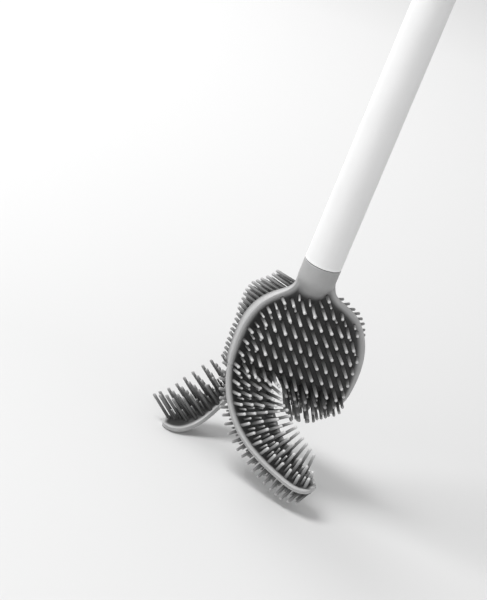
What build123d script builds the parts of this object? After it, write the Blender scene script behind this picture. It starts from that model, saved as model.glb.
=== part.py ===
from build123d import *
import os

# Flexible toilet brush: a hollow round handle and a push-in head of soft moulded
# rubber. The head is a flat oval pad with bristles on both faces. A slit splits the
# lower half of the pad into two leaves, and each leaf flexes at its root.
# Millimetres. +Z runs up the handle, the origin is on the handle's axis where the
# handle meets the collar, and the pad's front face looks towards -Y.

os.makedirs("parts", exist_ok=True)

# ---- driving dimensions ----
handle_d = 22.0           # outside of the handle and of the collar
handle_wall = 2.2
handle_length = 258.0     # tube alone, without its cap
parting_gap = 0.4         # shadow line between the handle and the collar below it
cap_height = 14.0
cap_plug_length = 16.0
cap_dome_r = 6.5
hang_hole_d = 6.0
hang_hole_up = 6.0        # height of the hole's axis above the tube
press_gap = 0.02          # radial clearance of pieces that are pressed in for good
socket_length = 34.0
socket_inset = 1.0        # how far the socket sits inside the tube's end
spigot_d = 12.0
spigot_length = 28.0
spigot_chamfer = 1.2
running_gap = 0.05        # radial clearance of the spigot in its socket

collar_length = 9.0       # round part of the collar
collar_foot_z = -27.0     # where the flare has died out in the pad
flare_foot_w = 30.0
flare_foot_t = 3.6
pad_t = 2.6               # thickness of the pad
leaf_corner_r = 0.3 * pad_t
split_z = -72.5           # top of the slit, where the two leaves begin
slit_x = -1.8             # the slit's place across the pad
slit_w = 1.2
flex_gap = 0.3            # clearance between the pad and the round root of a leaf
tongue_w = 13.0           # flat end of the stiff core inside the pad
tongue_t = 1.4
tongue_z = -40.0

bristle_d = 1.8
bristle_root = 0.6        # how deep a bristle's foot is sunk in the pad
bristle_pitch_x = 6.25
bristle_pitch_z = 7.7
bristle_full = 16.5       # length in the middle of the pad
bristle_edge = 9.0        # length next to the rim
full_from = 20.0          # distance from the rim where they reach full length
edge_margin = 5.5         # strip along the rim without bristles
top_margin = 2.0          # the same below the collar's flare
first_row_up = 3.5        # height of the lowest row of the pad above the slit
half_columns = 8          # most columns on each side of the slit
front_stations = 11       # sections along a leaf
rear_stations = 14

handle_r = handle_d / 2
tube_bore_r = handle_r - handle_wall
pivot_z = split_z - flex_gap - pad_t / 2      # line about which the leaves flex

# Pad outline beside the upper, undivided part, from the collar down to the slit
left_outline = [(-9.5, -19.5), (-12.0, -25.0), (-18.1, -31.5), (-25.0, -43.5), (-28.7, -57.9)]
right_outline = [(10.4, -13.5), (19.7, -19.6), (29.0, -23.5), (36.5, -29.8), (42.5, -41.0), (45.0, -56.0)]
left_split = (-29.6, split_z)
right_split = (44.2, split_z)

# Edges of the leaves, from the root to the tip. The front leaf curls forward and
# sweeps to the right. The rear leaf folds back under the pad and sweeps to the left.
front_outer = [
    (-29.6, 0.0, pivot_z), (-27.8, -6.0, -84.6), (-22.2, -14.0, -97.0), (-11.9, -22.0, -108.0),
    (0.1, -31.0, -114.5), (13.6, -40.0, -118.7), (25.3, -46.0, -119.8), (32.0, -45.0, -118.0),
]
front_inner = [
    (slit_x - slit_w / 2, 0.0, pivot_z), (-1.0, -2.6, -80.0), (1.3, -5.4, -87.0),
    (5.5, -9.5, -94.0), (11.5, -16.0, -102.0), (22.0, -24.5, -109.5), (30.0, -31.5, -113.5),
    (33.5, -38.0, -115.0),
]
rear_outer = [
    (44.2, 0.0, pivot_z), (43.2, 4.0, -81.5), (40.5, 11.0, -86.0), (35.0, 22.0, -87.0),
    (25.0, 33.0, -87.5), (12.0, 41.0, -91.0), (-2.0, 44.0, -98.5), (-15.0, 43.0, -110.0),
    (-27.0, 38.0, -123.0), (-38.0, 31.0, -130.5), (-46.0, 24.0, -132.8),
]
rear_inner = [
    (slit_x + slit_w / 2, 0.0, pivot_z), (3.0, 2.0, -79.0), (7.5, 6.0, -84.0), (9.0, 12.0, -86.0),
    (7.5, 19.0, -86.5), (3.0, 26.0, -88.5), (-4.5, 29.5, -94.0), (-12.0, 29.0, -103.0),
    (-18.4, 26.0, -114.0), (-24.6, 21.5, -124.6), (-30.8, 18.0, -129.9), (-37.0, 15.8, -132.0),
    (-44.5, 16.0, -132.8),
]


def save(part, name):
    part.label = name
    export_step(part, "parts/" + name + ".step")


# ---- handle ----
with BuildPart() as handle_tube:
    with BuildSketch(Plane.XY):
        Circle(handle_r)
        Circle(tube_bore_r, mode=Mode.SUBTRACT)
    extrude(amount=handle_length)
save(handle_tube.part, "handle_tube")

with BuildPart() as handle_end_cap:
    with BuildSketch(Plane.XY.offset(handle_length)):
        Circle(handle_r)
    extrude(amount=cap_height)
    fillet(handle_end_cap.edges().group_by(Axis.Z)[-1], cap_dome_r)
    with BuildSketch(Plane.XY.offset(handle_length - cap_plug_length)):
        Circle(tube_bore_r - press_gap)
    extrude(amount=cap_plug_length)
    with BuildSketch(Plane.XZ):
        with Locations((0, handle_length + hang_hole_up)):
            Circle(hang_hole_d / 2)
    extrude(amount=handle_d, both=True, mode=Mode.SUBTRACT)
save(handle_end_cap.part, "handle_end_cap")

with BuildPart() as handle_socket:
    with BuildSketch(Plane.XY.offset(socket_inset)):
        Circle(tube_bore_r - press_gap)
        Circle(spigot_d / 2 + running_gap, mode=Mode.SUBTRACT)
    extrude(amount=socket_length)
save(handle_socket.part, "handle_socket")

# ---- stiff core of the head ----
with BuildPart() as head_core:
    with BuildSketch(Plane.XY.offset(-collar_length)):
        Circle(spigot_d / 2)
    extrude(amount=collar_length + spigot_length)
    chamfer(head_core.edges().group_by(Axis.Z)[-1], spigot_chamfer)
    with BuildSketch(Plane.XY.offset(-collar_length)):
        Circle(spigot_d / 2)
    with BuildSketch(Plane.XY.offset(collar_foot_z)):
        Rectangle(tongue_w, tongue_t)
    loft()
    with BuildSketch(Plane.XY.offset(tongue_z)):
        Rectangle(tongue_w, tongue_t)
    extrude(amount=collar_foot_z - tongue_z)
save(head_core.part, "head_core")

# ---- collar and undivided upper part of the pad, one rubber moulding ----
with BuildPart() as head_pad:
    with BuildSketch(Plane.XZ):
        with BuildLine():
            left_side = Spline(*left_outline, left_split, tangents=[(-0.2, -1.0), (0.0, -1.0)])
            right_side = Spline(*right_outline, right_split, tangents=[(1.0, -0.55), (0.0, -1.0)])
            Line(left_side @ 1, right_side @ 1)
            Line(left_side @ 0, right_side @ 0)
        make_face()
    extrude(amount=pad_t / 2, both=True)
    with BuildSketch(Plane.XY.offset(-parting_gap)):
        Circle(handle_r)
    extrude(amount=parting_gap - collar_length)
    with BuildSketch(Plane.XY.offset(-collar_length)):
        Circle(handle_r)
    with BuildSketch(Plane.XY.offset(collar_foot_z)):
        Ellipse(flare_foot_w / 2, flare_foot_t / 2)
    loft()
    add(head_core.part, mode=Mode.SUBTRACT)
save(head_pad.part, "head_pad")


# ---- leaves ----
def section_plane(outer, inner, along):
    """Plane across a leaf: x runs from the outer edge to the slit edge, z runs down the leaf."""
    start = outer.position_at(along)
    end = inner.position_at(along)
    step = 0.02
    before = max(along - step, 0.0)
    after = min(along + step, 1.0)
    ahead = outer.position_at(after) + inner.position_at(after)
    behind = outer.position_at(before) + inner.position_at(before)
    down = ahead - behind
    across = (end - start).normalized()
    down = down - across * down.dot(across)
    return Plane(origin=(start + end) / 2, x_dir=across, z_dir=down), (end - start).length


def leaf_sections(outer, inner, stations):
    """Section planes and widths from the root to the tip; the root section is level."""
    sections = [section_plane(outer, inner, i / stations) for i in range(stations + 1)]
    root_plane, root_width = sections[0]
    level = Plane(origin=root_plane.origin, x_dir=(root_plane.x_dir.X, 0, 0), z_dir=(0, 0, -1))
    return [(level, root_width)] + sections[1:]


def make_leaf(sections):
    with BuildPart() as leaf:
        for plane, width in sections:
            with BuildSketch(plane):
                RectangleRounded(width, pad_t, leaf_corner_r)
        loft()
        root_plane, root_width = sections[0]
        with BuildSketch(Plane(origin=root_plane.origin, z_dir=(1, 0, 0))):
            Circle(pad_t / 2)
        extrude(amount=root_width / 2, both=True)
    return leaf


front_sections = leaf_sections(Edge.make_spline(front_outer), Edge.make_spline(front_inner), front_stations)
rear_sections = leaf_sections(Edge.make_spline(rear_outer), Edge.make_spline(rear_inner), rear_stations)
front_leaf = make_leaf(front_sections)
rear_leaf = make_leaf(rear_sections)
save(front_leaf.part, "front_leaf")
save(rear_leaf.part, "rear_leaf")


# ---- bristles ----
def bristle_length(to_edge):
    """Bristles grow from short ones beside the rim to full length further in."""
    share = min(to_edge / full_from, 1.0)
    return bristle_edge + (bristle_full - bristle_edge) * share


def make_bristles(places):
    """One node of separate bristles; a place is the foot, the direction and the length."""
    with BuildPart() as group:
        for foot, direction, length in places:
            with BuildSketch(Plane(origin=foot - direction * bristle_root, z_dir=direction)):
                Circle(bristle_d / 2)
            extrude(amount=length + bristle_root)
    return group


def outline_at(points, z):
    """Place of one side of the pad at a height, straight between the outline's points."""
    for (x0, z0), (x1, z1) in zip(points, points[1:]):
        if z1 <= z <= z0:
            return x0 + (x1 - x0) * (z0 - z) / (z0 - z1)
    return 0.0


def pad_bristles(side):
    """Bristles on one face of the upper pad; side is -1 for the front and 1 for the back."""
    top_z = collar_foot_z - top_margin
    lowest_z = split_z + first_row_up
    rows = int((top_z - lowest_z) / bristle_pitch_z) + 1
    places = []
    for row in range(rows):
        z = lowest_z + row * bristle_pitch_z
        left = outline_at(left_outline + [left_split], z)
        right = outline_at(right_outline + [right_split], z)
        for column in range(-half_columns, half_columns + 1):
            x = slit_x + (column + 0.5 * (row % 2)) * bristle_pitch_x
            to_edge = min(x - left, right - x)
            if to_edge > edge_margin:
                foot = Vector(x, side * pad_t / 2, z)
                places.append((foot, Vector(0, side, 0), bristle_length(to_edge)))
    return make_bristles(places)


def leaf_bristles(sections, side, first, last, edge, full):
    """Bristles on one face of a leaf, in rows on its section planes from first to last."""
    places = []
    for plane, width in sections[first : last + 1]:
        count = int((width - 2 * edge_margin) / bristle_pitch_x) + 1
        for column in range(count):
            across = (column - (count - 1) / 2) * bristle_pitch_x
            share = 1.0 - abs(across) / (width / 2)
            foot = plane.from_local_coords(Vector(across, side * pad_t / 2, 0))
            direction = plane.y_dir * side
            places.append((foot, direction, edge + (full - edge) * share))
    return make_bristles(places)


# The upper face of a leaf is the side its section planes' y points to: the pad's
# front on the front leaf, and the pad's back on the folded rear leaf.
upper = 1
lower = -1
front_upper = leaf_bristles(front_sections, upper, first=2, last=10, edge=9.0, full=14.0)
front_lower = leaf_bristles(front_sections, lower, first=4, last=10, edge=8.0, full=11.0)
rear_upper = leaf_bristles(rear_sections, upper, first=5, last=13, edge=10.0, full=15.0)
rear_lower = leaf_bristles(rear_sections, lower, first=1, last=6, edge=8.0, full=12.0)
save(pad_bristles(-1).part, "pad_bristles_front")
save(pad_bristles(1).part, "pad_bristles_back")
save(front_upper.part, "front_leaf_bristles_upper")
save(front_lower.part, "front_leaf_bristles_lower")
save(rear_upper.part, "rear_leaf_bristles_upper")
save(rear_lower.part, "rear_leaf_bristles_lower")
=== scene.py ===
import math

import bpy
import numpy as np
from mathutils import Matrix, Vector


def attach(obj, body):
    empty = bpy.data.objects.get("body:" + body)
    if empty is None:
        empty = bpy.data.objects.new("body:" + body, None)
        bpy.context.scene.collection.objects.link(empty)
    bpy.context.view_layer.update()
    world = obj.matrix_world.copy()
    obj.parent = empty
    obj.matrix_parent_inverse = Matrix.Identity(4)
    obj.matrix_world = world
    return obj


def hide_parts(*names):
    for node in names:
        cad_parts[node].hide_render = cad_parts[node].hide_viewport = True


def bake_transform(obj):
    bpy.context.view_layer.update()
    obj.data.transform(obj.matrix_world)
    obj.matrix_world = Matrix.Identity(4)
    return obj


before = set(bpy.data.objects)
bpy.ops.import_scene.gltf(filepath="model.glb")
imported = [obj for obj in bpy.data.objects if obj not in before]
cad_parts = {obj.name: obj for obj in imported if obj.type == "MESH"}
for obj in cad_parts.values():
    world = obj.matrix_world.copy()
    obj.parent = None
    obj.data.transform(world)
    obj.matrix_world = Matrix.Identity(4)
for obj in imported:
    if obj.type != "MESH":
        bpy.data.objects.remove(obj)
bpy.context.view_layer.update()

# A flexible toilet brush: white plastic handle, soft grey moulded head. The head is a dished
# oval pad with bristles on both faces, slit from below into two leaves that curl apart.
# Shapes are worked out in millimetres in the CAD frame and turned into metres when meshed.
MM = 0.001
rng = np.random.default_rng(7)

# ---------------------------------------------------------------- driving dimensions (mm)
COLLAR_R = 11.0
COLLAR_TOP = -0.4
COLLAR_STRAIGHT = -9.0     # the collar stays round down to here
COLLAR_FOOT = -27.0        # where its bulge has died out in the pad
SPLIT_Z = -73.0            # top of the slit
HALF_T = 1.2               # half the thickness of the pad
RIM_HALF_T = 1.5           # half the thickness of its rim
RIM_ROUND = 0.8            # how far in the rim's rounding reaches
RIM_SQUARENESS = 3.5       # exponent of that rounding, 2 would be an ellipse
RIM_BAND = 2.2             # how far in the thicker rim reaches
DISH_LEFT = 14.0           # width of the border curled up along the left rim
DISH_RIGHT = 12.0          # and along the right rim
SLIT_BORDER = 5.0          # width of the low border along a leaf's slit edge
RIM_GROOVE = 0.35          # depth of the shallow groove along the rim
COLLAR_LIP = ((0.0, 0.35), (0.08, 0.12), (0.25, 0.0))  # depth below the top, inset
COLLAR_SHADE = 0.92        # painted shade level of the collar, a little darker than the rim, which is painted lightest
TIP_RISE = 1.6             # height of the border round the leaves' tips
TIP_START = 0.86           # share of a leaf's length where its tip begins
TIP_REACH = 0.14           # share over which the borders change into the tip's
BRISTLE_R = 0.93
BRISTLE_SINK = 0.35        # how deep the bristles' feet are sunk
BRISTLE_STRAY = 0.22       # how far the tips stray from a perfect row
FINE_R = 0.62
FINE_LENGTH = 6.5
GRID_X = 2.75              # where a column and a row of the pad's grid lie
GRID_Z = -71.8
PITCH_X = 6.25
PITCH_Z = 7.7
FLOOR_Z = -134.8           # just under the rear leaf's lowest point

# How finely the shapes are worked out.
SPLINE_POINTS = 1200       # of a curve before it is resampled
LOOP_POINTS = 2400         # round a rim, the tip and the slit
PAD_ROWS = 112
LEAF_FIT_PASSES = 5        # for a leaf's middle sheet and its normals to agree
NORMAL_PASSES = 12         # of smoothing

# Rim curves, from the collar to the tips. Above the slit their y is also the height of the
# curled-up border over the pad's middle plane y = 0.
LEFT_RIM = [
    (-11.0, 0.0, -11.5), (-11.6, -1.0, -16.2), (-13.4, -2.2, -19.0), (-19.2, -4.0, -23.6),
    (-27.2, -5.5, -31.9), (-31.8, -6.5, -44.0), (-32.4, -6.7, -60.0), (-31.0, -7.0, -73.0),
    (-27.4, -9.5, -86.2), (-22.0, -14.0, -97.0), (-11.9, -22.0, -108.0), (0.1, -31.0, -114.5),
    (13.6, -40.0, -118.7), (24.3, -46.0, -119.8), (30.5, -46.2, -118.3), (34.0, -42.2, -116.0),
]
FRONT_SLIT = [
    (-2.4, 0.0, -73.0), (-1.0, -2.6, -80.0), (1.3, -5.4, -87.0), (5.5, -9.5, -94.0),
    (11.5, -16.0, -102.0), (22.0, -24.5, -109.5), (28.0, -29.5, -112.5), (33.2, -36.5, -114.3),
    (34.0, -42.2, -116.0),
]

RIGHT_RIM = [
    (11.0, 0.0, -8.5), (12.5, 0.0, -13.0), (15.6, -0.1, -17.2), (21.3, -1.0, -20.2),
    (31.5, -2.0, -25.8), (39.5, -2.5, -35.7), (44.0, -2.5, -47.8), (45.6, -2.0, -61.0),
    (45.4, -0.6, -73.0), (44.2, 3.0, -81.5), (41.0, 10.5, -86.0), (35.0, 22.0, -86.5),
    (25.0, 33.5, -86.5), (12.0, 42.0, -90.0), (-2.0, 45.0, -98.0), (-15.0, 44.0, -110.0),
    (-27.0, 39.0, -123.0), (-38.0, 32.0, -130.5), (-44.6, 26.5, -132.6), (-46.5, 21.0, -133.3),
]
REAR_SLIT = [
    (-1.2, 0.0, -73.0), (3.0, 0.3, -77.5), (8.0, 1.8, -83.0), (10.3, 6.5, -86.0),
    (9.2, 14.0, -84.5), (5.5, 24.0, -83.5), (-1.0, 30.0, -90.0), (-7.0, 30.0, -99.5),
    (-13.0, 27.2, -109.5), (-19.5, 23.5, -119.5), (-25.0, 20.5, -126.0), (-30.8, 18.0, -130.2),
    (-37.0, 15.8, -132.4), (-43.0, 16.4, -133.2), (-46.5, 21.0, -133.3),
]

# Directions the bristles of the leaves point in, by their place between root and tip.
FRONT_UPPER_LEAN = [
    (0.0, (0.18, -0.98, 0.09)), (0.15, (0.31, -0.91, 0.27)), (0.3, (0.33, -0.77, 0.54)),
    (0.5, (0.28, -0.57, 0.77)), (0.65, (0.12, -0.41, 0.90)), (1.0, (-0.14, -0.20, 0.97)),
]
FRONT_LOWER_LEAN = [
    (0.0, (-0.50, 0.86, 0.0)), (0.25, (-0.71, 0.55, -0.50)), (0.5, (-0.42, 0.32, -0.85)),
    (0.75, (-0.26, 0.18, -0.95)), (1.0, (-0.56, 0.10, -0.82)),
]
REAR_UPPER_LEAN = [
    (0.0, (0.10, 0.98, 0.10)), (0.25, (-0.10, 0.35, 0.93)), (0.5, (-0.62, 0.28, 0.72)),
    (0.65, (-0.76, 0.23, 0.60)), (1.0, (-0.76, 0.23, 0.60)),
]
REAR_LOWER_LEAN = [
    (0.0, (0.05, -1.0, -0.05)), (0.07, (0.16, -0.92, -0.36)), (0.13, (0.36, -0.62, -0.70)),
    (0.2, (0.42, -0.42, -0.80)), (0.6, (0.10, -0.25, -0.96)), (1.0, (0.0, -0.2, -0.98)),
]


# ---------------------------------------------------------------- small maths
def smooth_step(t):
    """0 below t = 0, 1 above t = 1, and a soft change between."""
    t = np.clip(t, 0.0, 1.0)
    return t * t * (3.0 - 2.0 * t)


def unit(v):
    """The same directions with length 1."""
    return v / np.maximum(np.linalg.norm(v, axis=-1, keepdims=True), 1e-9)


def smooth_curve(points, count):
    """Natural cubic spline through the points, resampled at even steps of its length."""
    p = np.array(points, float)
    t = np.concatenate([[0.0], np.cumsum(np.linalg.norm(np.diff(p, axis=0), axis=1))])
    n = len(p)
    h = np.diff(t)
    a = np.zeros((n, n))
    b = np.zeros((n, 3))
    a[0, 0] = a[-1, -1] = 1.0
    for i in range(1, n - 1):
        a[i, i - 1] = h[i - 1]
        a[i, i] = 2.0 * (h[i - 1] + h[i])
        a[i, i + 1] = h[i]
        b[i] = 6.0 * ((p[i + 1] - p[i]) / h[i] - (p[i] - p[i - 1]) / h[i - 1])
    m = np.linalg.solve(a, b)
    fine_t = np.linspace(0.0, t[-1], SPLINE_POINTS)
    k = np.clip(np.searchsorted(t, fine_t) - 1, 0, n - 2)
    left = (t[k + 1] - fine_t)[:, None]
    right = (fine_t - t[k])[:, None]
    hk = h[k][:, None]
    fine = (
        m[k] * left**3 / (6 * hk) + m[k + 1] * right**3 / (6 * hk)
        + (p[k] / hk - m[k] * hk / 6) * left + (p[k + 1] / hk - m[k + 1] * hk / 6) * right
    )
    return resample(fine, count)


def resample(fine, count):
    """The same line with its points at even steps of its length."""
    along = np.concatenate([[0.0], np.cumsum(np.linalg.norm(np.diff(fine, axis=0), axis=1))])
    want = np.linspace(0.0, along[-1], count)
    return np.stack([np.interp(want, along, fine[:, i]) for i in range(3)], axis=1)


def nearest(points, curve):
    """Distance from each point to a curve's nearest point, and the index of that one."""
    gap = np.linalg.norm(points[:, None, :] - curve[None, :, :], axis=2)
    return gap.min(axis=1), gap.argmin(axis=1)


def split_loop(rim_points, slit_points):
    """One smooth line down the rim, round the tip and back up the slit, parted at the tip."""
    loop = smooth_curve(rim_points + slit_points[-2::-1], LOOP_POINTS)
    tip = int(np.argmin(np.linalg.norm(loop - np.array(rim_points[-1]), axis=1)))
    return loop[: tip + 1], loop[tip:][::-1]


def above_split(curve):
    """The part of a rim from the collar to just below the split."""
    return curve[: int(np.argmin(curve[:, 2] >= SPLIT_Z - 2.0))]


def below_split(curve):
    """The part of a rim from the split on, starting exactly at the split's height."""
    first = int(np.argmax(curve[:, 2] < SPLIT_Z))
    share = (SPLIT_Z - curve[first - 1, 2]) / (curve[first, 2] - curve[first - 1, 2])
    start = curve[first - 1] + (curve[first] - curve[first - 1]) * share
    return np.vstack([start[None, :], curve[first:]])


left_rim, front_slit = split_loop(LEFT_RIM, FRONT_SLIT)
right_rim, rear_slit = split_loop(RIGHT_RIM, REAR_SLIT)
left_points, right_points = left_rim[::2], right_rim[::2]
left_upper, right_upper = above_split(left_rim), above_split(right_rim)


# ---------------------------------------------------------------- section of the pad
def half_thickness(edge):
    """Half the pad's thickness at a distance from its edge: round rim, thicker band, plate."""
    inside = np.clip((RIM_ROUND - edge) / RIM_ROUND, 0.0, 1.0)
    rounding = (1.0 - inside**RIM_SQUARENESS) ** (1 / RIM_SQUARENESS)
    band = RIM_HALF_T + (HALF_T - RIM_HALF_T) * smooth_step((edge - RIM_ROUND) / RIM_BAND)
    return band * rounding


def border_rise(edge, height, width):
    """Height of the curled-up border over the middle plane, and its slope."""
    t = np.clip(1.0 - edge / width, 0.0, 1.0)
    return height * t**2, 2.0 * height * t / width


def smooth_max(a, b, k):
    """The larger of two heights, blended over k where they meet."""
    lowered = 0.15       # share of the blend taken off again
    return 0.5 * (a + b + np.sqrt((a - b) ** 2 + k**2)) - 0.5 * k * lowered


def across_steps(width, inner):
    """Distances across a strip, close together near both edges and even between."""
    near = np.array([0.0, 0.04, 0.12, 0.25, 0.42, 0.62, 0.85, 1.1, 1.45, 1.9, 2.5, 3.2, 4.2])
    full_width = 14.0        # on a narrower strip these steps shrink
    near = near * min(1.0, width / full_width)
    middle = np.linspace(near[-1], width - near[-1], inner + 2)[1:-1]
    return np.concatenate([near, middle, width - near[::-1]])


# ---------------------------------------------------------------- collar and upper pad
def rim_x(z):
    """x of the left and right outline at a height between the collar and the split."""
    x_left = np.interp(-z, -left_upper[:, 2], left_upper[:, 0], left=-COLLAR_R)
    x_right = np.interp(-z, -right_upper[:, 2], right_upper[:, 0], left=COLLAR_R)
    return x_left, x_right


def pad_surface(x, z, side):
    """Points of the upper pad's face; side -1 is the front, +1 the back. Also gives the
    distance to the rim."""
    flat = np.stack([x, z], axis=-1)
    edge_l, near_l = nearest(flat, left_points[:, [0, 2]])
    edge_r, near_r = nearest(flat, right_points[:, [0, 2]])
    x_left, x_right = rim_x(z)
    edge_l = np.where(z > left_rim[0, 2], x - x_left, np.minimum(edge_l, x - x_left))
    edge_r = np.where(z > right_rim[0, 2], x_right - x, np.minimum(edge_r, x_right - x))
    edge = np.clip(np.minimum(edge_l, edge_r), 0.0, None)
    height_l = -left_points[near_l, 1] * (z < left_rim[0, 2])
    height_r = -right_points[near_r, 1] * (z < right_rim[0, 2])
    rise_l, slope_l = border_rise(edge_l, height_l, DISH_LEFT)
    rise_r, slope_r = border_rise(edge_r, height_r, DISH_RIGHT)
    rise = rise_l + rise_r
    by_left = edge_l < edge_r
    angle = np.arctan(np.where(by_left, slope_l, slope_r))
    t = half_thickness(edge)
    # the collar's bulge, a half round that flattens towards the pad
    flat_share = smooth_step((COLLAR_STRAIGHT - z) / (COLLAR_STRAIGHT - COLLAR_FOOT))
    foot_h = 0.4
    bulge_h = COLLAR_R + (foot_h - COLLAR_R) * flat_share
    foot_w = COLLAR_R - 3.0 * smooth_step((-11.0 - z) / 8.0)
    bulge_w = np.where(z > COLLAR_STRAIGHT, np.maximum(x_right, -x_left), foot_w)
    bulge = bulge_h * np.sqrt(np.clip(1.0 - (x / bulge_w) ** 2, 0.0, None))
    # the blend runs out at the rim and at the collar's top
    blend_k = 2.6 * smooth_step(edge / 3.0) * smooth_step((COLLAR_TOP - z) / 12.0)
    own = -side * rise + t * np.cos(angle)
    y = side * smooth_max(own, bulge, blend_k)
    # on the steep border the two faces lie across its slope
    rim_point = np.where(by_left[:, None], left_points[near_l], right_points[near_r])
    outward = unit(rim_point[:, [0, 2]] - flat)
    tilt = side * t * np.sin(angle) * smooth_step((-12.0 - z) / 5.0) * smooth_step(edge / 0.5)
    return np.stack([x + outward[..., 0] * tilt, y, z + outward[..., 1] * tilt], axis=-1), edge


def rings_to_mesh(name, rings, closed_ends=True):
    """Joins closed rings of equal length into a skin with filled ends. Millimetres in."""
    rows, count, _ = rings.shape
    verts = rings.reshape(-1, 3) * MM
    index = np.arange(rows * count).reshape(rows, count)
    following = np.roll(index, -1, axis=1)
    quads = np.stack([index[:-1], following[:-1], following[1:], index[1:]], axis=-1).reshape(-1, 4)
    faces = [tuple(q) for q in quads.tolist()]
    if closed_ends:
        half = count // 2
        for row, flip in ((index[0], True), (index[-1], False)):
            for i in range(half):
                quad = [row[i], row[i + 1], row[(count - i - 1) % count], row[-i % count]]
                if i == 0:
                    quad = [row[0], row[1], row[count - 1]]
                if quad[1] == quad[-2] or i == half - 1:
                    quad = quad[:2] + quad[-1:]
                faces.append(tuple(int(v) for v in (reversed(quad) if flip else quad)))
    mesh = bpy.data.meshes.new(name)
    mesh.from_pydata(verts.tolist(), [], faces)
    return mesh


def set_shade(mesh, values):
    """Stores painted shade, 0 to 1: how far a vertex lies out of the deep floor between the
    bristles, which is painted dark as if in shade.
    """
    attribute = mesh.attributes.new("shade", "FLOAT", "POINT")
    attribute.data.foreach_set("value", np.asarray(values, np.float32))


def floor_shade(edge, start=1.0, reach=3.0):
    """Painted shade: the rim is fully out and painted lightest, the floor inside it lies deep and
    is painted dark.
    """
    return 1.0 - smooth_step((edge - start) / reach)


def collar_shade(painted_lightness, x, z):
    """Lets the collar's even grey run out over the pad's painted floor shade, lowest in the middle.
    """
    ring_foot, pad_foot, side_climb, half_w = -17.0, -26.5, 6.5, 12.0
    on_ring = smooth_step((z - ring_foot) / 5.0)
    painted_lightness = painted_lightness * (1.0 - on_ring) + COLLAR_SHADE * on_ring
    foot = pad_foot + side_climb * (np.minimum(np.abs(x), half_w) / half_w) ** 2
    return np.maximum(painted_lightness, COLLAR_SHADE * smooth_step((z - foot) / 8.5))


def ring_shade(painted_lightness):
    """One row's painted shade for the whole ring: along the front, then back along the back."""
    return np.concatenate([painted_lightness, painted_lightness[-2:0:-1]])


def build_upper():
    z_rows = np.concatenate([
        [COLLAR_TOP - depth for depth, _ in COLLAR_LIP],
        np.linspace(COLLAR_TOP - 0.6, SPLIT_Z, PAD_ROWS),
    ])
    rings, painted_shades = [], []
    for row, z in enumerate(z_rows):
        x_left, x_right = rim_x(z)
        x = x_left + across_steps(x_right - x_left, inner=60)
        z_line = np.full_like(x, z)
        front, edge = pad_surface(x, z_line, -1)
        back, _ = pad_surface(x, z_line, 1)
        middle = 0.5 * (front[[0, -1]] + back[[0, -1]])
        groove = RIM_GROOVE * smooth_step((-15.0 - z) / 4.0)
        middle[:, 0] += (groove, -groove)
        ring = np.vstack([middle[0], front[1:-1], middle[1], back[-2:0:-1]])
        if row < len(COLLAR_LIP):
            ring[:, :2] *= 1.0 - COLLAR_LIP[row][1] / COLLAR_R
        rings.append(ring)
        # painted shade: width of the fade from the light rim into the painted-dark floor, wider
        # higher up the pad
        reach = 3.0 + 2.5 * smooth_step((z - SPLIT_Z) / 24.0)
        painted_shades.append(ring_shade(collar_shade(floor_shade(edge, reach=reach), x, z)))
    mesh = rings_to_mesh("head_upper", np.array(rings))
    set_shade(mesh, np.array(painted_shades).ravel())
    return mesh


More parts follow.
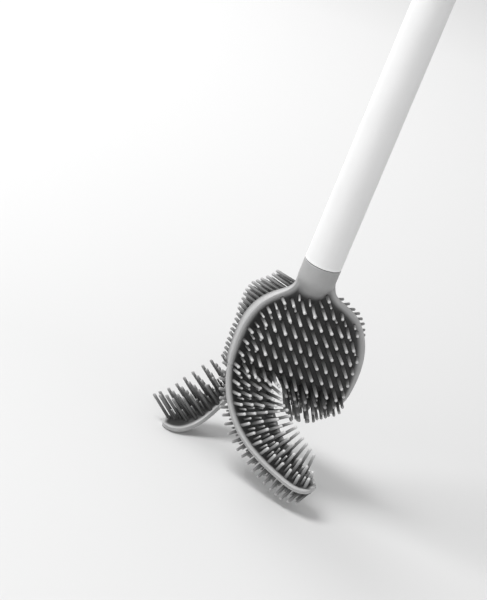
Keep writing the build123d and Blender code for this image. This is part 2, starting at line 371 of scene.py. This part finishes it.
# ---------------------------------------------------------------- leaves
class Leaf:
    """A curled strip between its rim and its slit edge. rim_rise is how high the border along
    the rim curls up, at the root and towards the tip. flip is for the leaf with its rim on
    the right, so that its normal too starts out to the front."""

    def __init__(self, rim, slit, flip, rim_rise, rise_width, slit_rise, rows):
        self.rows = rows
        self.rim = resample(below_split(rim), rows)
        self.slit_edge = resample(slit, rows)
        self.flip = flip
        share = np.linspace(0.0, 1.0, rows)[:, None]
        near_tip = smooth_step((share - TIP_START) / TIP_REACH)
        rise = rim_rise[0] + (rim_rise[1] - rim_rise[0]) * share
        self.rise = rise * (1 - near_tip) + TIP_RISE * near_tip
        self.slit_rise = slit_rise * (1 - near_tip) + TIP_RISE * near_tip
        self.rise_width = rise_width
        base, slit = self.rim.copy(), self.slit_edge.copy()
        for _ in range(LEAF_FIT_PASSES):
            normal = self.normals(base, slit)
            base = self.rim - normal * self.rise
            slit = self.slit_edge - normal * self.slit_rise * smooth_step(share / 0.1)
        self.base, self.slit = base, slit
        self.normal = self.normals(base, slit)

    def normals(self, base, slit):
        """Smoothed normals of the strip, one a row, turned to the pad's at the root."""
        middle = 0.5 * (base + slit)
        down = np.gradient(middle, axis=0)
        across = slit - base
        tip = self.rows // 10       # the strip is too narrow here for a normal of its own
        normal = unit(np.cross(down, across)) * (-1.0 if self.flip else 1.0)
        normal[-tip:] = normal[-tip - 1]
        for _ in range(NORMAL_PASSES):
            normal[1:-1] = (normal[:-2] + 2 * normal[1:-1] + normal[2:]) / 4
        root = 1.0 - smooth_step(np.linspace(0.0, 1.0, self.rows) / 0.16)[:, None]
        return unit(normal * (1 - root) + np.array([0.0, -1.0, 0.0]) * root)

    def surface(self, row, steps, side):
        """Points at distances `steps` from the rim on one row, on one face; side -1 is the
        front, +1 the back. Also gives their distance to the nearer edge."""
        start, end = self.base[row], self.slit[row]
        width = np.linalg.norm(end - start)
        direction = (end - start) / max(width, 1e-6)
        points = start + direction * np.asarray(steps)[:, None]
        normal = self.normal[row]
        edge_r, near_r = nearest(points, self.base)
        edge_s, near_s = nearest(points, self.slit)
        rise_r, slope_r = border_rise(edge_r, self.rise[near_r, 0], self.rise_width)
        rise_s, slope_s = border_rise(edge_s, self.slit_rise[near_s, 0], SLIT_BORDER)
        edge = np.minimum(edge_r, edge_s)
        by_rim = edge_r < edge_s
        angle = np.arctan(np.where(by_rim, slope_r, slope_s))[:, None]
        target = np.where(by_rim[:, None], self.base[near_r], self.slit[near_s])
        outward = target - points
        outward = unit(outward - normal * np.sum(outward * normal, axis=1, keepdims=True))
        # the faces lie across the border's slope, and the borders curl up from the strip;
        # both meet at the tip, where their plain sum would be too high
        t = half_thickness(edge)[:, None]
        face = normal * np.cos(angle) - outward * np.sin(angle) * smooth_step(edge / 0.5)[:, None]
        rise = ((rise_r**4 + rise_s**4) ** 0.25)[:, None]
        return points + normal * rise - side * t * face, edge

    def width(self, row):
        return float(np.linalg.norm(self.slit[row] - self.base[row]))

    def mesh(self, name):
        rings, painted_shades = [], []
        for row in range(self.rows):
            steps = across_steps(max(self.width(row), 0.05), inner=24)
            front, edge = self.surface(row, steps, -1)
            back, _ = self.surface(row, steps, 1)
            middle = 0.5 * (front[[0, -1]] + back[[0, -1]])
            groove = (middle[1] - middle[0]) * RIM_GROOVE / max(self.width(row), 2.0)
            middle[0] += groove
            middle[1] -= groove
            rings.append(np.vstack([middle[0], front[1:-1], middle[1], back[-2:0:-1]]))
            # painted shade: near the root the slit's edge is painted darker, as it lies in the
            # shade of the other leaf
            by_slit = smooth_step(np.linspace(-1.0, 3.0, len(steps)))
            out = float(smooth_step((row / self.rows - 0.2) / 0.25))
            painted_lightness = floor_shade(edge) * (1.0 - 0.75 * by_slit * (1.0 - out))
            painted_shades.append(ring_shade(painted_lightness))
        mesh = rings_to_mesh(name, np.array(rings))
        set_shade(mesh, np.array(painted_shades).ravel())
        return mesh


# ---------------------------------------------------------------- bristles
RING_AT = (0.0, 0.035, 0.09, 0.25, 0.45, 0.65, 0.85)   # shares of a bristle's length
TIP_AT = (0.0, 0.35, 0.65, 0.87)                       # shares of its round tip's height
FLARE = 0.45               # how much thicker the foot is
FLARE_END = 0.09           # share of the length where the flare ends
SIDES = 10


def bristle_mesh(name, feet, directions, lengths, radii, stray):
    """Tapered rods with a flared foot and a round tip; stray moves the tip of each bristle."""
    feet, directions = np.array(feet), unit(np.array(directions))
    lengths, radii = np.array(lengths)[:, None], np.array(radii)[:, None]
    count = len(feet)
    helper = np.where(np.abs(directions[:, [2]]) < 0.9, [[0, 0, 1.0]], [[1.0, 0, 0]])
    side_a = unit(np.cross(directions, helper))
    side_b = np.cross(directions, side_a)
    angles = np.linspace(0, 2 * math.pi, SIDES, endpoint=False)
    circle = (side_a[:, None, :] * np.cos(angles)[None, :, None]
              + side_b[:, None, :] * np.sin(angles)[None, :, None])
    rings, heights = [], []
    for share in RING_AT:
        flare = 1.0 + FLARE * max(0.0, 1.0 - share / FLARE_END) ** 2
        taper = 1.08 - 0.16 * share
        along = share * (lengths + BRISTLE_SINK) - BRISTLE_SINK
        centre = feet + directions * along + stray * share**2
        rings.append(centre[:, None, :] + circle * (radii * flare * taper)[:, None, :])
        heights.append(np.full((count, SIDES), share))
    for step in TIP_AT:
        rise = lengths - radii + radii * step
        share = 1.0 - 0.04 * (1 - step)
        centre = feet + directions * rise + stray * share**2
        rings.append(centre[:, None, :] + circle * (radii * math.sqrt(1 - step**2))[:, None, :])
        heights.append(np.full((count, SIDES), share))
    rings = np.stack(rings, axis=1)
    heights = np.stack(heights, axis=1)
    ring_count = rings.shape[1]
    tips = feet + directions * lengths + stray
    per_bristle = ring_count * SIDES + 1
    verts = np.concatenate([rings.reshape(count, -1, 3), tips[:, None, :]], axis=1).reshape(-1, 3)
    # painted shade along each bristle: painted dark at the foot, lightest at the tip
    shade = np.concatenate([heights.reshape(count, -1), np.ones((count, 1))], axis=1).ravel()
    faces = []
    for b in range(count):
        base = b * per_bristle
        for r in range(ring_count - 1):
            for s in range(SIDES):
                n = (s + 1) % SIDES
                faces.append((base + r * SIDES + s, base + r * SIDES + n,
                              base + (r + 1) * SIDES + n, base + (r + 1) * SIDES + s))
        last = base + (ring_count - 1) * SIDES
        for s in range(SIDES):
            faces.append((last + s, last + (s + 1) % SIDES, base + per_bristle - 1))
    mesh = bpy.data.meshes.new(name)
    mesh.from_pydata((verts * MM).tolist(), [], faces)
    set_shade(mesh, shade)
    return mesh


class Planting:
    """Collects bristles for one mesh; the fine ones are thinner and short."""

    def __init__(self):
        self.feet, self.directions, self.lengths, self.radii = [], [], [], []

    def add(self, foot, direction, length, fine):
        self.feet.append(foot)
        self.directions.append(direction / np.linalg.norm(direction))
        self.lengths.append(min(length, FINE_LENGTH) if fine else length)
        self.radii.append(FINE_R if fine else BRISTLE_R)

    def mesh(self, name):
        stray = rng.normal(0.0, BRISTLE_STRAY, (len(self.feet), 3))
        return bristle_mesh(name, self.feet, self.directions, self.lengths, self.radii, stray)


def lean_at(table, share):
    """Direction from one of the lean tables at a share of the leaf's length."""
    places = [entry[0] for entry in table]
    return np.array([np.interp(share, places, [entry[1][i] for entry in table]) for i in range(3)])


def pad_normal(x, z, side):
    step = 0.4
    here, _ = pad_surface(np.array([x, x + step, x]), np.array([z, z, z + step]), side)
    normal = unit(np.cross(here[1] - here[0], here[2] - here[0]))
    return normal if normal[1] * side > 0 else -normal


def pad_grid():
    """The pad's grid of main bristles, with a finer one in the middle of every cell: x, z,
    whether the left rim is the nearer one, and whether the bristle is a fine one."""
    margin = 1.5
    for fine in (False, True):
        shift = 0.5 if fine else 0.0
        for row in range(8):
            for column in range(-6, 8):
                x = GRID_X + (column + shift) * PITCH_X
                z = GRID_Z + (row + shift) * PITCH_Z
                x_left, x_right = rim_x(z)
                if x_left + margin < x < x_right - margin:
                    yield x, z, x - x_left < x_right - x, fine


def pad_front():
    """Short bristles along the border, long ones inside it, none at the collar's foot."""
    collar_z, collar_half_w = -20.5, 9.0
    planting = Planting()
    for x, z, near_left, fine in pad_grid():
        here, edge = pad_surface(np.array([x]), np.array([z]), -1)
        margin = 2.6 if near_left else 3.0
        if edge[0] < margin or z > collar_z and abs(x) < collar_half_w:
            continue
        direction = pad_normal(x, z, -1) + np.array([0.0, -0.7, 0.0])
        reach = 15.0 if near_left else 11.0
        length = 6.0 + 10.5 * float(smooth_step((edge[0] - 2.0) / reach))
        planting.add(here[0], direction, length, fine)
    return planting.mesh("bristles_front")


def pad_back():
    """The grid again, inside the close rows that follow the border."""
    top, length = -22.0, 14.5
    planting = Planting()
    for x, z, near_left, fine in pad_grid():
        here, edge = pad_surface(np.array([x]), np.array([z]), 1)
        margin = 12.0 if near_left else 8.0
        if edge[0] < margin or z > top:
            continue
        planting.add(here[0], pad_normal(x, z, 1), length, fine)
    plant_back_border(planting)
    return planting.mesh("bristles_back")


def plant_back_border(planting):
    """Close rows along the border on the back, leaning outwards, every other one staggered."""
    left = left_rim[(left_rim[:, 2] < -13.0) & (left_rim[:, 2] > SPLIT_Z + 1.0)]
    right = right_rim[(right_rim[:, 2] < -17.5) & (right_rim[:, 2] > SPLIT_Z + 1.0)]
    top, collar_half_w = -13.5, 8.5
    # rim, way to lean, distances of the rows from the rim, spacing along it
    borders = ((left, -1.0, (2.0, 4.2, 6.4, 8.8, 11.4), 3.2), (right, 1.0, (3.0, 6.0), 4.4))
    for rim, sign, insets, spacing in borders:
        length_of_rim = float(np.sum(np.linalg.norm(np.diff(rim, axis=0), axis=1)))
        for ring, inset in enumerate(insets):
            spots = resample(rim, 2 * int(length_of_rim / spacing) + 1)[ring % 2 :: 2]
            for spot, along in zip(spots, np.gradient(spots, axis=0)):
                tangent = unit(along[[0, 2]])
                inward = np.array([-tangent[1], tangent[0]])
                if inward[0] * sign > 0:
                    inward = -inward
                x, z = spot[[0, 2]] + inward * inset
                if z > top or abs(x) < collar_half_w:
                    continue
                here, _ = pad_surface(np.array([x]), np.array([z]), 1)
                height = float(smooth_step((z + 52.0) / 30.0))
                angle = math.radians(26.0 + 22.0 * height) * (1.0 - inset / 30.0)
                direction = np.array([sign * math.sin(angle), math.cos(angle), -0.12 * (sign > 0)])
                length = (6.0 + 8.5 * height) if sign < 0 else (7.0 + 5.0 * height)
                planting.add(here[0], direction, length + 0.35 * inset, fine=False)


def plant_leaf(name, leaf, side, table, *, rows, span, margins, lengths, pitch,
               follow=0.15, slant=0.0, grow=0.0):
    """Rows of bristles across a leaf, with finer ones between them. The span is given in
    shares of the leaf's length, margins and lengths at the rim and at the slit. Bristles lean
    as the table says and follow the surface by a share, grow lengthens them towards the tip,
    and slanted rows lie nearer the root at the slit than at the rim."""
    planting = Planting()
    for fine in (False, True):
        shift = 0.5 if fine else 0.0
        for i in range(rows):
            rim_share = span[0] + (span[1] - span[0]) * (i + shift) / (rows - 1)
            width = leaf.width(int(round(min(rim_share, 1.0) * (leaf.rows - 1))))
            room = width - margins[0] - margins[1]
            if room < 0.0:
                continue
            gaps = max(int(round(room / pitch)), 1)
            steps = margins[0] + room * (np.arange(gaps + 1) + shift) / gaps
            for step in steps[: gaps if fine else gaps + 1]:
                share = rim_share - slant * step / width
                row = int(round(share * (leaf.rows - 1)))
                if not 1 <= row <= leaf.rows - 4:
                    continue
                here, edge = leaf.surface(row, [step - 0.3, step, step + 0.3], side)
                lower, _ = leaf.surface(row + 1, [step], side)
                upper, _ = leaf.surface(row - 1, [step], side)
                if edge[1] < 1.5:
                    continue
                normal = unit(np.cross(here[2] - here[0], lower[0] - upper[0]))
                lean = lean_at(table, share)
                if normal @ lean < 0:
                    normal = -normal
                length = lengths[0] + (lengths[1] - lengths[0]) * min(step / 18.0, 1.0)
                length *= 1.0 + grow * (share - 0.5)
                planting.add(here[1], unit(lean) + normal * follow, length, fine)
    return planting.mesh(name)


# ---------------------------------------------------------------- materials
MIX_A, MIX_B, MIX_RESULT = 6, 7, 2     # colour sockets of a mix node


def new_material(name):
    material = bpy.data.materials.new(name)
    material.use_nodes = True
    tree = material.node_tree
    tree.nodes.clear()
    output = tree.nodes.new("ShaderNodeOutputMaterial")
    shader = tree.nodes.new("ShaderNodeBsdfPrincipled")
    tree.links.new(shader.outputs["BSDF"], output.inputs["Surface"])
    return material, tree, shader


def noise(tree, scale, detail=4.0, roughness=0.5):
    coordinates = tree.nodes.new("ShaderNodeTexCoord")
    texture = tree.nodes.new("ShaderNodeTexNoise")
    texture.inputs["Scale"].default_value = scale
    texture.inputs["Detail"].default_value = detail
    texture.inputs["Roughness"].default_value = roughness
    tree.links.new(coordinates.outputs["Object"], texture.inputs["Vector"])
    return texture


def ramp(tree, source, stops):
    node = tree.nodes.new("ShaderNodeValToRGB")
    while len(node.color_ramp.elements) < len(stops):
        node.color_ramp.elements.new(0.5)
    for element, (position, value) in zip(node.color_ramp.elements, stops):
        element.position = position
        element.color = (value, value, value, 1.0)
    tree.links.new(source, node.inputs["Fac"])
    return node


def map_range(tree, source, low, high):
    """Spreads a value from 0 to 1 over low to high; its From sockets can be set after."""
    node = tree.nodes.new("ShaderNodeMapRange")
    node.inputs["To Min"].default_value = low
    node.inputs["To Max"].default_value = high
    tree.links.new(source, node.inputs["Value"])
    return node


def add_bump(tree, shader, source, strength, distance):
    bump = tree.nodes.new("ShaderNodeBump")
    bump.inputs["Strength"].default_value = strength
    bump.inputs["Distance"].default_value = distance
    tree.links.new(source, bump.inputs["Height"])
    tree.links.new(bump.outputs["Normal"], shader.inputs["Normal"])


def colour_mix(tree, blend_type="MIX"):
    node = tree.nodes.new("ShaderNodeMix")
    node.data_type = "RGBA"
    node.blend_type = blend_type
    return node


def rubber_material(name, stops):
    """Soft grey rubber; the stops give its painted shade, from the deep floor painted darkest to
    rims and tips painted lightest.
    """
    material, tree, shader = new_material(name)
    shade = tree.nodes.new("ShaderNodeAttribute")
    shade.attribute_name = "shade"
    # the grey is painted shade, read from the shade attribute
    grey = ramp(tree, shade.outputs["Fac"], stops)
    mottle = noise(tree, 90.0, 5.0, 0.6)
    spread = map_range(tree, mottle.outputs["Fac"], 0.88, 1.10)
    tint = colour_mix(tree, "MULTIPLY")
    tint.inputs["Factor"].default_value = 1.0
    tree.links.new(grey.outputs["Color"], tint.inputs[MIX_A])
    tree.links.new(spread.outputs["Result"], tint.inputs[MIX_B])
    tree.links.new(tint.outputs[MIX_RESULT], shader.inputs["Base Color"])
    rough = map_range(tree, noise(tree, 260.0, 3.0).outputs["Fac"], 0.38, 0.52)
    tree.links.new(rough.outputs["Result"], shader.inputs["Roughness"])
    shader.inputs["Specular IOR Level"].default_value = 0.45
    add_bump(tree, shader, noise(tree, 900.0, 3.0).outputs["Fac"], 0.12, 0.0003)
    return material


def plastic_material(name, grey, rough_low, rough_high, lip=None):
    """Satin plastic; with a lip it gets a painted highlight, paler where the shade attribute marks
    the tube's lip.
    """
    material, tree, shader = new_material(name)
    spread = ramp(tree, noise(tree, 30.0, 3.0).outputs["Fac"], [(0.3, grey * 0.97), (0.7, grey)])
    colour = spread.outputs["Color"]
    if lip:
        shade = tree.nodes.new("ShaderNodeAttribute")
        shade.attribute_name = "shade"
        painted_brighter = colour_mix(tree)
        painted_brighter.inputs[MIX_B].default_value = (lip, lip, lip, 1.0)
        tree.links.new(shade.outputs["Fac"], painted_brighter.inputs["Factor"])
        tree.links.new(colour, painted_brighter.inputs[MIX_A])
        colour = painted_brighter.outputs[MIX_RESULT]
    tree.links.new(colour, shader.inputs["Base Color"])
    rough = map_range(tree, noise(tree, 140.0, 4.0).outputs["Fac"], rough_low, rough_high)
    tree.links.new(rough.outputs["Result"], shader.inputs["Roughness"])
    add_bump(tree, shader, noise(tree, 1400.0, 2.0).outputs["Fac"], 0.05, 0.0002)
    return material


# One rubber four times over, its grey painted shade; the last two are darker copies, painted shade
# for bristles that lie in shade.
pad_rubber = rubber_material(
    "pad_rubber", [(0.0, 0.025), (0.35, 0.05), (0.8, 0.27), (1.0, 0.43)])
bristle_rubber = rubber_material(
    "bristle_rubber", [(0.0, 0.05), (0.16, 0.15), (0.65, 0.36), (1.0, 0.62)])
painted_shade_back_rubber = rubber_material(
    "painted_shade_back_rubber", [(0.0, 0.03), (0.3, 0.08), (0.8, 0.23), (1.0, 0.48)])
painted_shade_rubber = rubber_material(
    "painted_shade_rubber", [(0.0, 0.03), (0.3, 0.07), (0.85, 0.19), (1.0, 0.40)])
handle_plastic = plastic_material("handle_plastic", 0.81, 0.28, 0.40)
# the tube's lip gets a painted highlight, paler than the rest of the tube
tube_plastic = plastic_material("tube_plastic", 0.81, 0.28, 0.40, lip=0.95)
core_plastic = plastic_material("core_plastic", 0.55, 0.40, 0.55)


# ---------------------------------------------------------------- pieces
def smooth_shading(mesh):
    mesh.polygons.foreach_set("use_smooth", np.ones(len(mesh.polygons), bool))
    mesh.update()


def add_piece(mesh, material):
    piece = bpy.data.objects.new(mesh.name, mesh)
    bpy.context.collection.objects.link(piece)
    mesh.materials.append(material)
    smooth_shading(mesh)
    return piece


def make_head():
    upper = add_piece(build_upper(), pad_rubber)
    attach(upper, "head")
    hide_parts("head_pad")
    front = add_piece(pad_front(), bristle_rubber)
    # the back's bristles get a darker copy of the rubber: painted shade
    back = add_piece(pad_back(), painted_shade_back_rubber)
    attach(front, "head")
    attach(back, "head")
    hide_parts("pad_bristles_front")
    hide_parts("pad_bristles_back")


def bend_leaf(piece):
    """Bakes the piece's placement into its mesh; nothing is bent."""
    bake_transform(piece)


def make_leaf(body, leaf, upper, lower, rubbers):
    skin = add_piece(leaf.mesh(body + "_skin"), pad_rubber)
    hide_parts(body)
    bend_leaf(skin)
    for face, mesh, rubber in (("upper", upper, rubbers[0]), ("lower", lower, rubbers[1])):
        piece = add_piece(mesh, rubber)
        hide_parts(body + "_bristles_" + face)
        bend_leaf(piece)


def make_leaves():
    front = Leaf(left_rim, front_slit, flip=False, rim_rise=(7.0, 3.0), rise_width=DISH_LEFT,
                 slit_rise=0.4, rows=150)
    upper = plant_leaf(
        "front_leaf_tufts_upper", front, -1, FRONT_UPPER_LEAN, rows=15, span=(0.03, 0.965),
        margins=(3.0, 1.7), lengths=(6.0, 17.5), pitch=6.0)
    lower = plant_leaf(
        "front_leaf_tufts_lower", front, 1, FRONT_LOWER_LEAN, rows=22, span=(0.02, 0.97),
        margins=(2.2, 2.5), lengths=(8.5, 11.0), pitch=4.0, grow=0.6)
    # the lower bristles get a darker copy of the rubber: painted shade
    make_leaf("front_leaf", front, upper=upper, lower=lower,
              rubbers=(bristle_rubber, painted_shade_back_rubber))
    rear = Leaf(right_rim, rear_slit, flip=True, rim_rise=(0.6, 1.5), rise_width=DISH_RIGHT,
                slit_rise=0.5, rows=190)
    upper = plant_leaf(
        "rear_leaf_tufts_upper", rear, 1, REAR_UPPER_LEAN, rows=20, span=(0.10, 0.97),
        margins=(2.6, 2.6), lengths=(18.0, 14.5), pitch=4.6, follow=0.05, slant=0.085)
    lower = plant_leaf(
        "rear_leaf_tufts_lower", rear, -1, REAR_LOWER_LEAN, rows=8, span=(0.03, 0.24),
        margins=(3.4, 2.2), lengths=(7.0, 16.0), pitch=6.0)
    # both faces of the rear leaf get a darker copy of the rubber: painted shade
    make_leaf("rear_leaf", rear, upper=upper, lower=lower,
              rubbers=(painted_shade_rubber, painted_shade_rubber))


def make_tube():
    """The handle's tube, turned round its axis, with a small rounded lip at its lower end."""
    outer, bore, length, lip, turns = 11.0, 8.8, 258.0, 0.45, 96
    corner = [(outer - lip + lip * math.sin(a), lip - lip * math.cos(a))
              for a in np.linspace(0.0, math.pi / 2, 7)]
    profile = [(bore, length), (bore, 0.0), (bore + 0.2, 0.0)] + corner
    profile += [(outer, 0.8), (outer, 2.0), (outer, 60.0), (outer, 150.0), (outer, length)]
    rings = [[(r * math.cos(2 * math.pi * k / turns), r * math.sin(2 * math.pi * k / turns), z)
              for k in range(turns)] for r, z in profile]
    mesh = rings_to_mesh("handle_skin", np.array(rings)[::-1], closed_ends=False)
    heights = np.repeat([z for _, z in profile][::-1], turns)
    # marks the lip for its painted highlight
    set_shade(mesh, 1.0 - smooth_step((heights - 0.5) / 0.6))
    tube = add_piece(mesh, tube_plastic)
    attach(tube, "handle")
    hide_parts("handle_tube")


def dress_cad():
    """New materials for the CAD solids that are not redrawn."""
    for node, material in (("handle_end_cap", handle_plastic), ("handle_socket", core_plastic),
                           ("head_core", core_plastic)):
        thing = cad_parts[node]
        for slot in thing.material_slots:
            slot.material = material


# ---------------------------------------------------------------- stage
def make_stage():
    """A plain sheet of pale paper, painted whiter towards the back and darker in front: painted
    light.
    """
    half = 6.0
    level = FLOOR_Z * MM
    corners = [(x * half, y * half, level) for x, y in ((-1, -1), (1, -1), (1, 1), (-1, 1))]
    mesh = bpy.data.meshes.new("floor")
    mesh.from_pydata(corners, [], [(0, 1, 2, 3)])
    floor = bpy.data.objects.new("floor", mesh)
    bpy.context.collection.objects.link(floor)
    material, tree, shader = new_material("floor_paper")
    coordinates = tree.nodes.new("ShaderNodeTexCoord")
    parts = tree.nodes.new("ShaderNodeSeparateXYZ")
    tree.links.new(coordinates.outputs["Object"], parts.inputs["Vector"])
    # painted light: the floor's colour grows paler towards the back
    painted_brighter = map_range(tree, parts.outputs["Y"], 0.65, 0.90)
    painted_brighter.inputs["From Min"].default_value = 0.1
    painted_brighter.inputs["From Max"].default_value = 1.1
    tree.links.new(painted_brighter.outputs["Result"], shader.inputs["Base Color"])
    shader.inputs["Roughness"].default_value = 0.7
    mesh.materials.append(material)


def look_at(thing, target):
    direction = Vector(target) - thing.location
    thing.rotation_euler = direction.to_track_quat("-Z", "Y").to_euler()


def add_light(name, location, target, size, power):
    data = bpy.data.lights.new(name, "AREA")
    data.shape = "DISK"
    data.size = size
    data.energy = power
    light = bpy.data.objects.new(name, data)
    bpy.context.collection.objects.link(light)
    light.location = location
    look_at(light, target)


def make_lights():
    target = (0.0, 0.0, -0.06)
    add_light("key", (-0.9, 0.0, 1.35), target, 0.7, 20.0)
    add_light("fill", (-0.2, -1.6, 0.7), target, 1.2, 5.0)
    add_light("rim", (-0.6, 1.2, 0.9), target, 1.0, 8.0)
    world = bpy.data.worlds.new("studio")
    bpy.context.scene.world = world
    world.use_nodes = True
    background = world.node_tree.nodes["Background"]
    background.inputs["Color"].default_value = (1.0, 1.0, 1.0, 1.0)
    background.inputs["Strength"].default_value = 0.55


def make_camera():
    """Stands where the photograph was taken from, rolled so that the handle leans right."""
    azimuth, elevation, roll = (math.radians(a) for a in (-16.0, 21.0, 22.2))
    forward = Vector((-math.sin(azimuth) * math.cos(elevation),
                      math.cos(azimuth) * math.cos(elevation), -math.sin(elevation)))
    level_right = Vector((math.cos(azimuth), math.sin(azimuth), 0.0))
    level_up = level_right.cross(forward)
    right = level_right * math.cos(roll) + level_up * math.sin(roll)
    up = level_up * math.cos(roll) - level_right * math.sin(roll)
    distance, shift_right, shift_up = 1.225, 0.0451, 0.0209
    data = bpy.data.cameras.new("camera")
    data.lens = 130.3
    data.sensor_width = 36.0
    camera = bpy.data.objects.new("camera", data)
    bpy.context.collection.objects.link(camera)
    place = -forward * distance - right * shift_right - up * shift_up
    turn = Matrix((right, up, -forward)).transposed().to_4x4()
    camera.matrix_world = Matrix.Translation(place) @ turn
    bpy.context.scene.camera = camera


make_camera()
dress_cad()
make_tube()
make_head()
make_leaves()
make_stage()
make_lights()
bpy.context.scene.view_settings.view_transform = "Standard"
